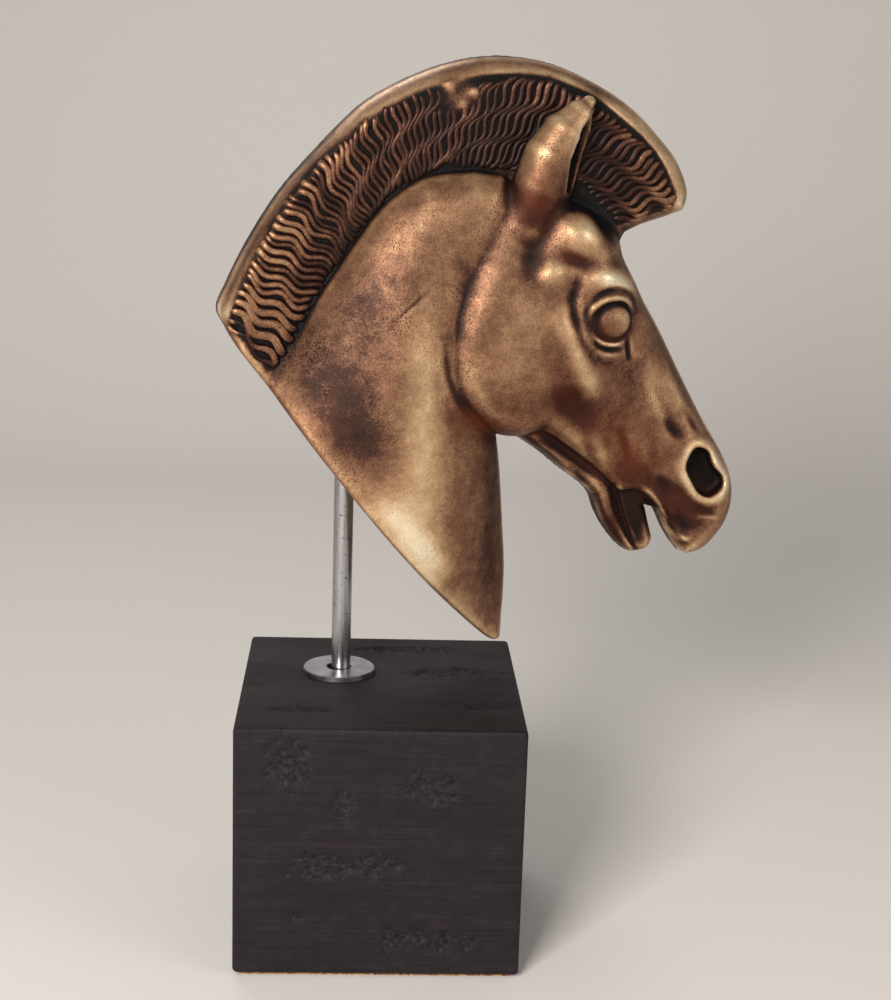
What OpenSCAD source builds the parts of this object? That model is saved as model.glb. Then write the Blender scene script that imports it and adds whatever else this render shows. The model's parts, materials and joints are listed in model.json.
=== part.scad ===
// Bronze horse head on a steel post and a stained wooden block.
// Units are millimetres. +X is the way the nose points, +Z is up, and the origin is the middle
// of the underside. The head is drawn in its own plane, as [forward of the post, above the block],
// and is then stood up, given its thickness and turned on the post.

/* [Wooden block] */
// Width of the block, along X
block_w = 142; // [110:1:180]
// Depth of the block, along Y
block_d = 142; // [110:1:180]
// Height of the block
block_h = 129; // [90:1:160]
// Radius of the block's worn edges
block_edge = 2; // [1:0.5:5]

/* [Cork pad] */
// Thickness of the cork pad under the block
pad_t = 2; // [1:0.5:4]
// Margin between the pad's edge and the block's edge
pad_inset = 4; // [2:1:12]

/* [Post] */
// Diameter of the post
post_d = 10; // [8:0.5:12]
// Place of the post along X, from the middle of the block
post_x = -21; // [-30:1:30]
// Place of the post along Y, from the middle of the block
post_y = 13; // [-30:1:30]
// Height of the post's tip above the block
post_reach = 165; // [150:1:170]
// Diameter of the threaded spigot through the block
spigot_d = 8; // [6:1:8]

/* [Loose washer on the block] */
// Outer diameter of the washer
washer_d = 37; // [30:1:44]
// Hole of the washer, wider than the post, so that it slides freely
washer_bore = 13; // [12.5:0.5:16]
// Thickness of the washer
washer_t = 3; // [1.5:0.5:4]

/* [Head] */
// How far the head is turned on the post, in degrees, nose away from the front
head_turn = 7; // [-20:1:20]
// Half thickness of the mane, inside its rounded rim
mane_half = 17; // [15:0.5:20]
// Wall of the hollow casting
wall_t = 5; // [4:0.5:6]
// Depth of the filling that closes the neck, square to the cut
plug_t = 34; // [24:1:38]
// How far the filling is set back from the cut edge
plug_inset = 3; // [2:0.5:6]
// Wall of the socket tube around the post
tube_wall = 2; // [1.5:0.5:3]

/* [Hidden] */

$fn = 72;
block_top = pad_t + block_h;
run_gap = 0.05;         // running clearance between the post and its socket, on the radius
glue_gap = 0.3;         // glue line round the tube and the plug
thin = 0.01;

// Underside recess, with the spigot's nut and washer in it
recess_d = 34;
recess_h = 18;
nut_across = 13;
nut_h = 6.5;
under_washer_d = 24;
under_washer_t = 2;
spigot_bore = spigot_d + 0.5;
spigot_up = 3;          // the spigot stops this far above the pad
tip_edge = 1;           // bevel round the post's tip
washer_off = [-0.9, 0.3];  // the loose washer never lies quite true on the post

tube_r = post_d / 2 + tube_wall;
tube_bottom = 118;      // height of the tube's open end above the block
tube_end = 6;           // solid end of the tube, which rests on the post's tip

// The flat cut across the foot of the neck, from its rear corner to its front tip
cut_rear = [-61, 182];
cut_front = [80, 10];
cut_run = cut_front - cut_rear;
cut_tilt = atan2(cut_run[1], cut_run[0]);
cut_mid = (cut_rear + cut_front) / 2;

// Outline of the head, seen from its right side, one stretch after another
rim = [[-61, 182], [-65, 192], [-60, 203], [-50, 222], [-34, 246], [-18, 267], [3, 291], [22, 303],
       [45, 312], [70, 316], [98, 313], [125, 302], [141, 291], [153, 280], [162, 270], [168, 258],
       [170, 250], [168, 244]];
forelock = [[158, 240], [147, 237], [139, 233], [136, 228]];
face = [[138, 219], [146, 202], [157, 181], [167, 161], [177, 145], [187, 131], [195, 121],
        [201, 111], [204, 101], [204, 92], [201, 81], [195, 71], [190, 64], [184, 61], [178, 62],
        [172, 68], [169, 76]];
mouth = [[166, 84], [161, 89], [158, 88]];
chin = [[160, 82], [163, 73], [161, 65], [155, 62], [148, 63], [140, 69], [134, 77], [130, 84], [127, 94]];
jaw = [[120, 103], [110, 111], [100, 119], [90, 126], [79, 129]];
throat = [[78, 120], [79, 100], [80, 78], [81, 60], [81, 40], [82, 20], [80, 10]];

// Masses of the head: [forward, above the block, radius in the plane, half thickness].
// Each row is one hull, and neighbouring rows share masses.
rear_foot = [-30, 176, 30, 26];
mid_foot = [8, 118, 42, 42];
front_foot = [64, 38, 26, 24];
withers = [-16, 204, 34, 24];
lower_side = [24, 150, 46, 42];
lower_throat = [60, 92, 24, 28];
crest_root = [6, 226, 36, 23];
upper_side = [36, 190, 46, 38];
upper_throat = [58, 134, 24, 29];
nape = [40, 238, 32, 23];
behind_cheek = [62, 214, 42, 32];
throat_latch = [64, 170, 36, 31];
neck_rows = [
    [rear_foot, mid_foot, front_foot, withers, lower_side, lower_throat],
    [withers, lower_side, lower_throat, crest_root, upper_side, upper_throat],
    [crest_root, upper_side, upper_throat, nape, behind_cheek, throat_latch]];
poll = [90, 238, 28, 28];
brow = [112, 218, 26, 33];
eye_line = [126, 198, 24, 34];
cheek = [80, 173, 37, 37];
jaw_angle = [96, 150, 28, 32];
under_eye = [143, 168, 20, 27];
jaw_bar = [123, 121, 20, 22];
nasal = [160, 142, 19, 20];
lip_root = [152, 118, 20, 20];
nostrils = [179, 113, 21, 21];
upper_lip = [185, 82, 19, 18];
chin_root = [140, 100, 14, 17];
lower_lip = [148, 79, 16, 15];
head_rows = [
    [nape, behind_cheek, poll, cheek],
    [poll, brow, cheek],
    [brow, eye_line, under_eye, cheek],
    [cheek, under_eye, jaw_angle, jaw_bar],
    [under_eye, nasal, jaw_bar, lip_root],
    [nasal, nostrils, lip_root],
    [nostrils, upper_lip],
    [jaw_bar, lip_root, chin_root],
    [chin_root, lower_lip]];

// The mane stands on a line along the neck, and its two rims are rounded in steps
mane_foot = [[-44, 160], [-18, 186], [-6, 208], [6, 226], [22, 244], [40, 252], [60, 254],
             [90, 250], [120, 236], [134, 226]];
rim_steps = [[0, 5], [1, 9], [3, 12], [6, 15], [9, mane_half]];

// Stations of an ear: [forward, above the block, radius, distance from the head's plane]
ear_stations = [[88, 236, 14, 21], [94, 252, 14, 25], [102, 270, 11, 27], [109, 285, 7, 26],
                [113, 297, 3, 25]];
ear_flat = 0.5;

// Points along a smooth line through the given ones
function smooth(p, steps = 3) = [
    for (i = [0 : len(p) - 2], k = [0 : steps - 1])
        let (a = p[max(i - 1, 0)], b = p[i], c = p[i + 1], d = p[min(i + 2, len(p) - 1)], t = k / steps)
        0.5 * (2 * b + (c - a) * t + (2 * a - 5 * b + 4 * c - d) * t * t
               + (3 * b - a - 3 * c + d) * t * t * t),
    p[len(p) - 1]];

function reversed(p) = [for (i = [len(p) - 1 : -1 : 0]) p[i]];

head_outline = concat(smooth(rim), forelock, smooth(face, 2), mouth, chin, jaw, throat);
mane_outline = concat(smooth(rim), forelock, reversed(mane_foot));

// The hollow follows the neck and the head as far as the bridge of the nose
hollow_rows = concat(neck_rows, [for (i = [0 : 4]) head_rows[i]]);
hollow_outline = concat([[-61, 182], [-42, 222], [-10, 246], [20, 262], [100, 262], [136, 228]],
                        smooth(face, 2), mouth, chin, jaw, throat, [[80, -60], [-61, -60]]);

// Turns and stands a drawing of the head's plane on the post
module on_post() translate([post_x, post_y, block_top]) rotate([0, 0, head_turn]) children();

// A slab of the head's plane, half_t thick each way
module slab(half_t) rotate([90, 0, 0]) linear_extrude(2 * half_t, center = true) children();

// One mass of the head: an egg that is round in the head's plane, less a wall
module mass(m, less = 0)
    translate([m[0], 0, m[1]]) scale([m[2] - less, m[3] - less, m[2] - less]) sphere(1, $fn = 28);

module row_hulls(rows, less = 0)
    for (row = rows) hull() for (m = row) mass(m, less);

// Everything on one side of the cut: side 1 is the head's side, side -1 is the open side
module beyond_cut(side, from = 0)
    translate([cut_mid[0], 0, cut_mid[1]]) rotate([0, -cut_tilt, 0])
        translate([-250, -100, side > 0 ? from : from - 300]) cube([500, 200, 300]);

module mane()
    for (s = rim_steps) slab(s[1]) offset(delta = -s[0]) polygon(mane_outline);

module ear(side)
    for (i = [0 : len(ear_stations) - 2])
        hull() for (e = [ear_stations[i], ear_stations[i + 1]])
            translate([e[0], side * e[3], e[1]]) scale([1, ear_flat, 1]) sphere(e[2], $fn = 16);

// A hollow in the neck and head, open at the cut, with a wall left round it
module hollow(wall, rows) intersection() {
    row_hulls(rows, wall);
    slab(60) offset(delta = -wall) polygon(hollow_outline);
}

module mane_hollow(wall)
    slab(mane_half - wall)
        offset(delta = -wall - rim_steps[len(rim_steps) - 1][0]) polygon(mane_outline);

module head_casting() color("#8a6a3c") on_post() difference() {
    union() {
        intersection() {
            union() {
                row_hulls(neck_rows);
                row_hulls(head_rows);
            }
            slab(60) polygon(head_outline);
        }
        mane();
        ear(1);
        ear(-1);
    }
    beyond_cut(-1);
    hollow(wall_t, hollow_rows);
    mane_hollow(wall_t);
}

module neck_plug() color("#b09468") on_post() difference() {
    intersection() {
        hollow(wall_t + glue_gap, [neck_rows[0], neck_rows[1]]);
        beyond_cut(1, plug_inset);
        beyond_cut(-1, plug_inset + plug_t);
    }
    cylinder(r = tube_r + glue_gap, h = 400);
}

module socket_tube() color("#9a9da0") translate([post_x, post_y, block_top]) difference() {
    translate([0, 0, tube_bottom]) cylinder(r = tube_r, h = post_reach + tube_end - tube_bottom);
    cylinder(r = post_d / 2 + run_gap, h = post_reach);
}

module post() color("#a9acb0") translate([post_x, post_y, 0]) {
    translate([0, 0, block_top]) rotate_extrude()
        polygon([[0, 0], [post_d / 2, 0], [post_d / 2, post_reach - tip_edge],
                 [post_d / 2 - tip_edge, post_reach], [0, post_reach]]);
    translate([0, 0, pad_t + spigot_up]) cylinder(d = spigot_d, h = block_h - spigot_up + thin);
}

// A flat ring with its outer edges bevelled
module ring(d, bore, t, edge = 0.4) rotate_extrude()
    polygon([[bore / 2, 0], [d / 2 - edge, 0], [d / 2, edge], [d / 2, t - edge], [d / 2 - edge, t],
             [bore / 2, t]]);

module loose_washer() color("#b4b8bc")
    translate([post_x + washer_off[0], post_y + washer_off[1], block_top])
        ring(washer_d, washer_bore, washer_t);

module wooden_block() color("#2c2424") difference() {
    translate([0, 0, pad_t]) block_body();
    translate([post_x, post_y, 0]) cylinder(d = spigot_bore, h = 400);
    translate([post_x, post_y, -thin]) cylinder(d = recess_d, h = pad_t + recess_h + thin);
}

// A box standing on the middle of its underside
module bar(w, d, h) translate([-w / 2, -d / 2, 0]) cube([w, d, h]);

// The block with its edges eased: three boxes that cross, joined by their hull
module block_body() {
    e = block_edge;
    hull() {
        bar(block_w - 2 * e, block_d - 2 * e, block_h);
        translate([0, 0, e]) bar(block_w, block_d - 2 * e, block_h - 2 * e);
        translate([0, 0, e]) bar(block_w - 2 * e, block_d, block_h - 2 * e);
    }
}

module under_washer() color("#b4b8bc")
    translate([post_x, post_y, pad_t + recess_h - under_washer_t])
        ring(under_washer_d, spigot_bore, under_washer_t, 0.2);

module under_nut() color("#b4b8bc")
    translate([post_x, post_y, pad_t + recess_h - under_washer_t - nut_h]) difference() {
        cylinder(d = nut_across / cos(30), h = nut_h, $fn = 6);
        translate([0, 0, -1]) cylinder(d = spigot_d + 2 * run_gap, h = nut_h + 2);
    }

module cork_pad() color("#a37b4c") bar(block_w - 2 * pad_inset, block_d - 2 * pad_inset, pad_t);

head_casting();
neck_plug();
socket_tube();
post();
loose_washer();
wooden_block();
under_washer();
under_nut();
cork_pad();
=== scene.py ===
# %% [markdown]
# # A cast horse's head on a steel rod
# The object is a hollow casting with a bronze patina. It stands on a steel rod in a stained
# block, with a loose washer round the rod. The block, rod, washer, nut and sleeve are exact CAD
# pieces, so here they only get their finish or a finer skin. The head is free sculpture, and
# most of this file carves it. Everything is measured from the CAD frame, which is loaded first.

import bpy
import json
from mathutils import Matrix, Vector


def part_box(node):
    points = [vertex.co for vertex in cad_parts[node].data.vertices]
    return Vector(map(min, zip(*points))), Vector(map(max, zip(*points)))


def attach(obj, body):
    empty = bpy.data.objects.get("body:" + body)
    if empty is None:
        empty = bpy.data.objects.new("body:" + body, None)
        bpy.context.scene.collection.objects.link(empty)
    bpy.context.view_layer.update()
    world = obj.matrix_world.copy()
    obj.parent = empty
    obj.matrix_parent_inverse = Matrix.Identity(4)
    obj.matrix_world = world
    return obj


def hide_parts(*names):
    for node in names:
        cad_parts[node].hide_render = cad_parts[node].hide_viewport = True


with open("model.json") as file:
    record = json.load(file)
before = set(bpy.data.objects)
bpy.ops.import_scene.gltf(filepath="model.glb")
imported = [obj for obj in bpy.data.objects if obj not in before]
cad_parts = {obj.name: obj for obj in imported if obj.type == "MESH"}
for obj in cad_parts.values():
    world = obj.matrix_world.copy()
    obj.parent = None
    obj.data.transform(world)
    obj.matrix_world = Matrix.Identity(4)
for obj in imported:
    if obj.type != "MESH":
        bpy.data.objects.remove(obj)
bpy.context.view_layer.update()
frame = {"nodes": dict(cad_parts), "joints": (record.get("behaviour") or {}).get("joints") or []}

import json
import math

import bmesh
import bpy
import numpy as np
import openvdb
from mathutils import Matrix, Vector

MM = 0.001
nodes = frame["nodes"]
print("CAD pieces:", ", ".join(sorted(nodes)))

# %% [markdown]
# ## The camera
# A camera is easiest to repeat when four plain facts describe it: where it stands, which way it
# looks, how far it is tipped, and its lens. The three directions of its own axes then make the
# columns of its matrix. It stands about 0.9 m from the head, a little above it, with a short
# telephoto lens, so that near and far edges keep their real proportions.

# %% The camera
BLOCK_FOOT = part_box("wooden_block")[0].z / MM
CAMERA_SPOT = Vector((-10.4, -887.6, 443.3 + BLOCK_FOOT)) * MM
CAMERA_YAW, CAMERA_DIP, CAMERA_ROLL = 0.046, 0.240, 0.032
CAMERA_LENS = 65.2


def put_in_scene(name, data):
    thing = bpy.data.objects.new(name, data)
    bpy.context.scene.collection.objects.link(thing)
    return thing


def make_camera():
    across, out = math.sin(CAMERA_YAW), math.cos(CAMERA_YAW)
    level = math.cos(CAMERA_DIP)
    forward = Vector((across * level, out * level, -math.sin(CAMERA_DIP)))
    level_right = Vector((out, -across, 0))
    level_up = level_right.cross(forward)
    right = level_right * math.cos(CAMERA_ROLL) + level_up * math.sin(CAMERA_ROLL)
    up = level_up * math.cos(CAMERA_ROLL) - level_right * math.sin(CAMERA_ROLL)
    data = bpy.data.cameras.new("camera")
    data.lens = CAMERA_LENS
    data.sensor_width = 36
    camera = put_in_scene("camera", data)
    turn = Matrix((right, up, -forward)).transposed().to_4x4()
    camera.matrix_world = Matrix.Translation(CAMERA_SPOT) @ turn
    bpy.context.scene.camera = camera


make_camera()
print("camera", [round(x, 3) for x in CAMERA_SPOT], "lens", CAMERA_LENS, "mm")

# %% [markdown]
# ## Colours and nodes
# Colours are written as the hex values that a painter would pick on a screen. Blender's shaders
# work in linear light, so one function converts them. A second function adds any shader node
# with its settings and its links, which keeps each material short enough to read as a recipe.

# %% Colour and node helpers
def colour(hex_value):
    channels = [int(hex_value[k:k + 2], 16) / 255 for k in (1, 3, 5)]
    linear = [c / 12.92 if c <= 0.04045 else ((c + 0.055) / 1.055) ** 2.4 for c in channels]
    return (*linear, 1.0)


def add(tree, kind, inputs=(), out=None, stops=(), **settings):
    """Adds a node and gives back one of its outputs. Inputs are plain values or sockets to link
    from, by name or in the order the node shows them. Stops are the colours of a ramp."""
    node = tree.nodes.new(kind)
    for name, value in settings.items():
        setattr(node, name, value)
    if isinstance(inputs, dict):
        given = [(node.inputs[name], value) for name, value in inputs.items()]
    else:
        given = zip([socket for socket in node.inputs if socket.enabled], inputs)
    for socket, value in given:
        if isinstance(value, bpy.types.NodeSocket):
            tree.links.new(value, socket)
        else:
            socket.default_value = value
    for place, _ in stops[1:-1]:
        node.color_ramp.elements.new(place)
    for k, (place, hex_value) in enumerate(stops):
        node.color_ramp.elements[k].position = place
        node.color_ramp.elements[k].color = colour(hex_value)
    shown = [socket for socket in node.outputs if socket.enabled and out in (None, socket.name)]
    return shown[0] if shown else None


def add_shares(tree, total, terms):
    """Adds a share of each source to a value: source, its low and high, the share at each."""
    for term in terms:
        share = add(tree, "ShaderNodeMapRange", term)
        total = add(tree, "ShaderNodeMath", [total, share], operation="ADD")
    return total


def start_material(name):
    material = bpy.data.materials.new(name)
    material.use_nodes = True
    material.node_tree.nodes.clear()
    return material, material.node_tree, add(material.node_tree, "ShaderNodeTexCoord", out="Object")


print("black", colour("#000000"), "white", colour("#ffffff"))

# %% [markdown]
# ## The studio
# A statuette is best shown on a sweep: a pale sheet that lies flat and then curves up behind, so
# there is no horizon. One large soft light hangs in front, to the left and above, a weaker one
# fills from the right, and a third behind the head draws a thin bright line along the crest.

# %% The sweep and the lights
SWEEP_NEAR, SWEEP_BACK, SWEEP_BEND, SWEEP_HALF = -1.6, 1.0, 0.5, 2.4
PAPER_FIBRE = 1.5


def make_sweep():
    line = [(SWEEP_NEAR, 0.0)]
    for step in range(17):
        a = math.radians(90 * step / 16)
        line.append((SWEEP_BACK + SWEEP_BEND * math.sin(a), SWEEP_BEND * (1 - math.cos(a))))
    line.append((SWEEP_BACK + SWEEP_BEND, 2.6))
    points = [(x, y, z) for y, z in line for x in (-SWEEP_HALF, SWEEP_HALF)]
    faces = [(2 * k, 2 * k + 1, 2 * k + 3, 2 * k + 2) for k in range(len(line) - 1)]
    mesh = bpy.data.meshes.new("sweep")
    mesh.from_pydata(points, [], faces)
    mesh.shade_smooth()
    sweep = put_in_scene("sweep", mesh)
    material, tree, place = start_material("pale_paper")
    fibres = add(tree, "ShaderNodeTexNoise", [place, 1 / (PAPER_FIBRE * MM), 3.0, 0.6])
    tint = add(tree, "ShaderNodeValToRGB", [fibres], stops=[(0.3, "#d6d2ce"), (0.7, "#dbd7d3")])
    paper = add(tree, "ShaderNodeBsdfPrincipled", {"Base Color": tint, "Roughness": 0.9})
    add(tree, "ShaderNodeOutputMaterial", [paper])
    mesh.materials.append(material)


def add_light(name, spot, aim, size, power, tint="#ffffff"):
    data = bpy.data.lights.new(name, "AREA")
    data.shape = "RECTANGLE"
    data.size, data.size_y = size
    data.energy = power
    data.color = colour(tint)[:3]
    light = put_in_scene(name, data)
    light.location = spot
    light.rotation_mode = "QUATERNION"
    light.rotation_quaternion = (Vector(aim) - Vector(spot)).to_track_quat("-Z", "Y")


make_sweep()
HEAD_MIDDLE = (0.03, 0.0, 0.33)
add_light("key", (-0.62, -1.36, 0.90), HEAD_MIDDLE, (0.6, 0.6), 35, "#fffaf4")
add_light("fill", (1.3, -0.9, 0.75), HEAD_MIDDLE, (0.9, 0.9), 6, "#fff8f2")
add_light("crest", (-0.4, 0.95, 1.15), HEAD_MIDDLE, (0.6, 0.3), 3)
world = bpy.data.worlds.new("room")
world.use_nodes = True
world.node_tree.nodes["Background"].inputs["Color"].default_value = colour("#f2f0ee")
world.node_tree.nodes["Background"].inputs["Strength"].default_value = 0.30
bpy.context.scene.world = world
bpy.context.scene.view_settings.view_transform = "Standard"

# %% [markdown]
# ## The drawing board
# The head is modelled as a sculptor works in relief. A board stands upright along the horse's
# middle plane, and each shape on it is drawn once, in millimetres: forward from the rod, and up
# from the foot of the block. From those drawings comes a map of how far the surface stands out
# from the board at every place, and because a horse is the same on both sides one map makes
# both. Box modelling or subdivision could make the head too, but folds, lids and lips are far
# easier to place as strokes on a map, and the map later tells the patina where the hollows are.

# %% The board and its tools
CELL = 0.8
FORWARD = np.arange(-78, 216, CELL, dtype=np.float32)
HEIGHT = np.arange(130, 456, CELL, dtype=np.float32)
BOARD_U, BOARD_V = np.meshgrid(FORWARD, HEIGHT, indexing="ij")


def between(a, b, c, d, t):
    """A place t of the way from b to c, on a smooth line that also passes through a and d."""
    cube = 3 * b - a - 3 * c + d
    return b + 0.5 * t * (c - a + t * (2 * a - 5 * b + 4 * c - d + t * cube))


def curve(points, steps=6, closed=False):
    """A smooth line through a few given points."""
    p = np.asarray(points, float)
    if closed:
        p = np.vstack([p[-1], p, p[0], p[1]])
    else:
        p = np.vstack([2 * p[0] - p[1], p, 2 * p[-1] - p[-2]])
    line = []
    for a, b, c, d in zip(p[:-3], p[1:-2], p[2:-1], p[3:]):
        for t in np.arange(steps) / steps:
            line.append(between(a, b, c, d, t))
    if not closed:
        line.append(p[-2])
    return np.array(line)


def window(low, high):
    """The part of the board between two corners."""
    spans = []
    for axis, start, end in ((FORWARD, low[0], high[0]), (HEIGHT, low[1], high[1])):
        first = max(0, int((start - axis[0]) / CELL))
        spans.append(slice(first, max(first, int((end - axis[0]) / CELL) + 2)))
    return tuple(spans)


def line_distance(line, reach=None):
    """For each place on the board: how far a line is, and how far along it the nearest point lies."""
    near = np.full(BOARD_U.shape, 1e3, np.float32)
    along = np.zeros(BOARD_U.shape, np.float32)
    steps = np.diff(line, axis=0)
    lengths = np.hypot(steps[:, 0], steps[:, 1])
    starts = np.concatenate([[0], np.cumsum(lengths)])
    for a, step, length, start in zip(line[:-1], steps, lengths, starts):
        if length == 0:
            continue
        part = (slice(None), slice(None))
        if reach is not None:
            part = window(np.minimum(a, a + step) - reach, np.maximum(a, a + step) + reach)
        du, dv = BOARD_U[part] - a[0], BOARD_V[part] - a[1]
        t = np.clip((du * step[0] + dv * step[1]) / length ** 2, 0, 1)
        away = np.hypot(du - t * step[0], dv - t * step[1])
        closer = away < near[part]
        near[part] = np.where(closer, away, near[part])
        along[part] = np.where(closer, start + t * length, along[part])
    return near, along / starts[-1]


def inside(outline):
    """Which places of the board lie inside a closed outline."""
    odd = np.zeros(BOARD_U.shape, bool)
    for (u0, v0), (u1, v1) in zip(outline, np.roll(outline, -1, 0)):
        if v0 == v1:
            continue
        part = window((FORWARD[0], min(v0, v1) - CELL), (FORWARD[-1], max(v0, v1) + CELL))
        v = BOARD_V[part]
        left = BOARD_U[part] < (u1 - u0) * (v - v0) / (v1 - v0) + u0
        odd[part] ^= ((v0 > v) != (v1 > v)) & left
    return odd


def depth_in(outline):
    """Distance to an outline, positive inside it."""
    near, _ = line_distance(np.vstack([outline, outline[:1]]))
    return np.where(inside(outline), near, -near)


def spot_map(spots):
    """A smooth map through values given at a few spots: rows of forward, height, value."""
    p = np.asarray(spots, float)
    place, value = p[:, :2] / 100, p[:, 2]

    def bend(square):
        return 0.5 * square * np.log(square + 1e-9)

    n = len(p)
    system = np.zeros((n + 3, n + 3))
    system[:n, :n] = bend(((place[:, None] - place[None]) ** 2).sum(-1)) + 1e-3 * np.eye(n)
    system[:n, n], system[:n, n + 1:] = 1, place
    system[n, :n], system[n + 1:, :n] = 1, place.T
    weight = np.linalg.solve(system, np.concatenate([value, np.zeros(3)]))
    result = weight[n] + weight[n + 1] * BOARD_U / 100 + weight[n + 2] * BOARD_V / 100
    for (u, v), w in zip(place, weight[:n]):
        result = result + w * bend((BOARD_U / 100 - u) ** 2 + (BOARD_V / 100 - v) ** 2)
    return np.clip(result, value.min() - 2, value.max() + 2).astype(np.float32)


def pillow(outline, thickness, rounding, power=2.0):
    """Half thickness of a body: full in its middle, rounded off to nothing at its outline."""
    depth = depth_in(outline)
    x = np.clip(depth / rounding, 0, 1)
    half = thickness * (1 - (1 - x) ** power) ** (1 / power)
    return np.where(depth > 0, half, 2 * depth).astype(np.float32)


def blend_max(a, b, radius):
    """The larger of two, with the crease between them rounded to a radius."""
    share = np.clip(0.5 + 0.5 * (a - b) / radius, 0, 1)
    return b + (a - b) * share + radius * share * (1 - share)


print("board", BOARD_U.shape, "cells of", CELL, "mm")

# %% [markdown]
# ## Outlines
# The head is built from overlapping bodies, as a clay model is: the mane is a thick upright slab,
# the neck a broad wedge in front of it, the skull and cheek a third body, and the lower jaw a
# fourth that hangs apart, so that the mouth is open. Each is only a smooth outline.

# %% Outlines of the bodies
CREST = [(-61, 310), (-65, 320), (-60.5, 332), (-51, 351.5), (-35.5, 376.5), (-18, 397), (3, 418.5),
         (22, 430.5), (45, 440), (70, 444.5), (98, 441.5), (125, 430.5), (142, 419.5), (154, 408),
         (163, 398), (169, 387), (171, 379), (169, 371.5)]
FORELOCK = [(158, 367.5), (147, 364), (139, 360), (136, 354)]
MANE_FOOT = [(128, 345), (105, 352), (80, 366), (40, 368), (15, 352), (-5, 330), (-22, 300),
             (-36, 270), (-60, 270)]
MANE_ROOT = [(-58, 250), (-39, 289), (-27, 311), (-18, 327), (-9, 341), (1, 356), (11, 370),
             (21, 379.5), (31, 386), (41, 389), (52, 390), (62, 390), (74, 388)]
NECK_TOP = [(-64, 253), (-44, 291), (-31, 313), (-22, 330), (-12, 344.5), (-2, 359.5), (9, 374),
            (20, 383.5), (30, 390), (41, 393), (52, 394), (62, 394), (74, 391)]
THROAT = [(77, 258), (79, 246), (81, 228), (83, 206), (84.5, 188), (84.5, 168), (84, 150),
          (83, 132), (80, 110)]
FACE = [(138, 349), (147.5, 332), (160, 311.5), (171, 291.5), (180, 275.5), (188, 262),
        (195.5, 250.5), (201, 240.5), (204.5, 230), (205, 220), (202, 209), (196, 200), (191, 195),
        (185, 192.5), (179, 193)]
LIP_LINE = [(177, 198), (173, 204), (169, 210), (165, 216), (160, 221.5), (154, 226), (148, 227.5),
            (142, 227.5), (135, 231.5), (127, 238.5), (116, 247), (103, 256)]
CHEEK = [(97, 259), (87, 256.5), (77, 257.5), (67, 262), (58, 269.5), (51, 278), (46.5, 289),
         (44.5, 301), (45, 314), (47.5, 328), (52, 342), (58, 356), (65, 370)]
CROWN = [(73, 381), (83, 385), (97, 383), (113, 377), (127, 369), (136, 356)]
JAW = [(76, 259), (84, 257), (90, 254), (100, 247.5), (110, 239.5), (120, 232.5), (127.5, 225),
       (131.5, 215), (136.5, 206.5), (143, 198.5), (149, 194), (154, 193)]
JAW_INNER = [(154, 198), (150.5, 205), (147, 213), (144, 223), (141, 234), (135, 250), (115, 270),
             (90, 275)]
UPPER_LIP_INNER = [(146, 240), (160, 232), (175, 214), (186, 204), (184, 191), (177, 194),
                   (172, 200), (168.5, 206), (166, 212.5), (163, 217.5), (159, 218), (155, 224),
                   (147, 230)]
LOWER_LIP_INNER = [(136, 236), (140, 224), (143, 214), (146, 204), (149, 196), (155, 193.5),
                   (161, 195.5), (163, 201), (160, 211), (158.5, 217), (155, 224), (146, 232)]
MOUTH_FLOOR = [(126, 240), (140, 246), (152, 242), (160, 230), (159, 219), (150, 216), (140, 224),
               (132, 232)]
NECK_BEHIND = [(95, 375), (115, 340), (105, 300), (95, 275)]
NECK_END = [(-58, 110)]
CUT = [(-90, 352), (-61, 310), (-40, 283), (-20, 257), (0, 232), (20, 208), (40, 185.5),
       (60, 164.5), (70, 154.5), (77, 148.5), (83, 146.5), (90, 147)]

mane_outline = np.vstack([curve(CREST, 4), FORELOCK, MANE_FOOT])
neck_outline = np.vstack([curve(NECK_TOP, 3), NECK_BEHIND, curve(THROAT, 3), NECK_END])
head_outline = np.vstack([curve(FACE, 3), curve(LIP_LINE, 3), curve(CHEEK, 3), curve(CROWN, 3)])
jaw_outline = np.vstack([curve(JAW, 3), JAW_INNER])
print("head is", max(FACE)[0] - min(CREST)[0], "mm long")

# %% [markdown]
# ## How thick it is
# A few spot values say how far each body stands out from the middle plane, and a thin-plate
# surface, the shape that a sprung sheet of metal would take, runs smoothly through them. Nothing
# on an animal is flat, so even the neck has a swell in its middle and thins to the throat.

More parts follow.
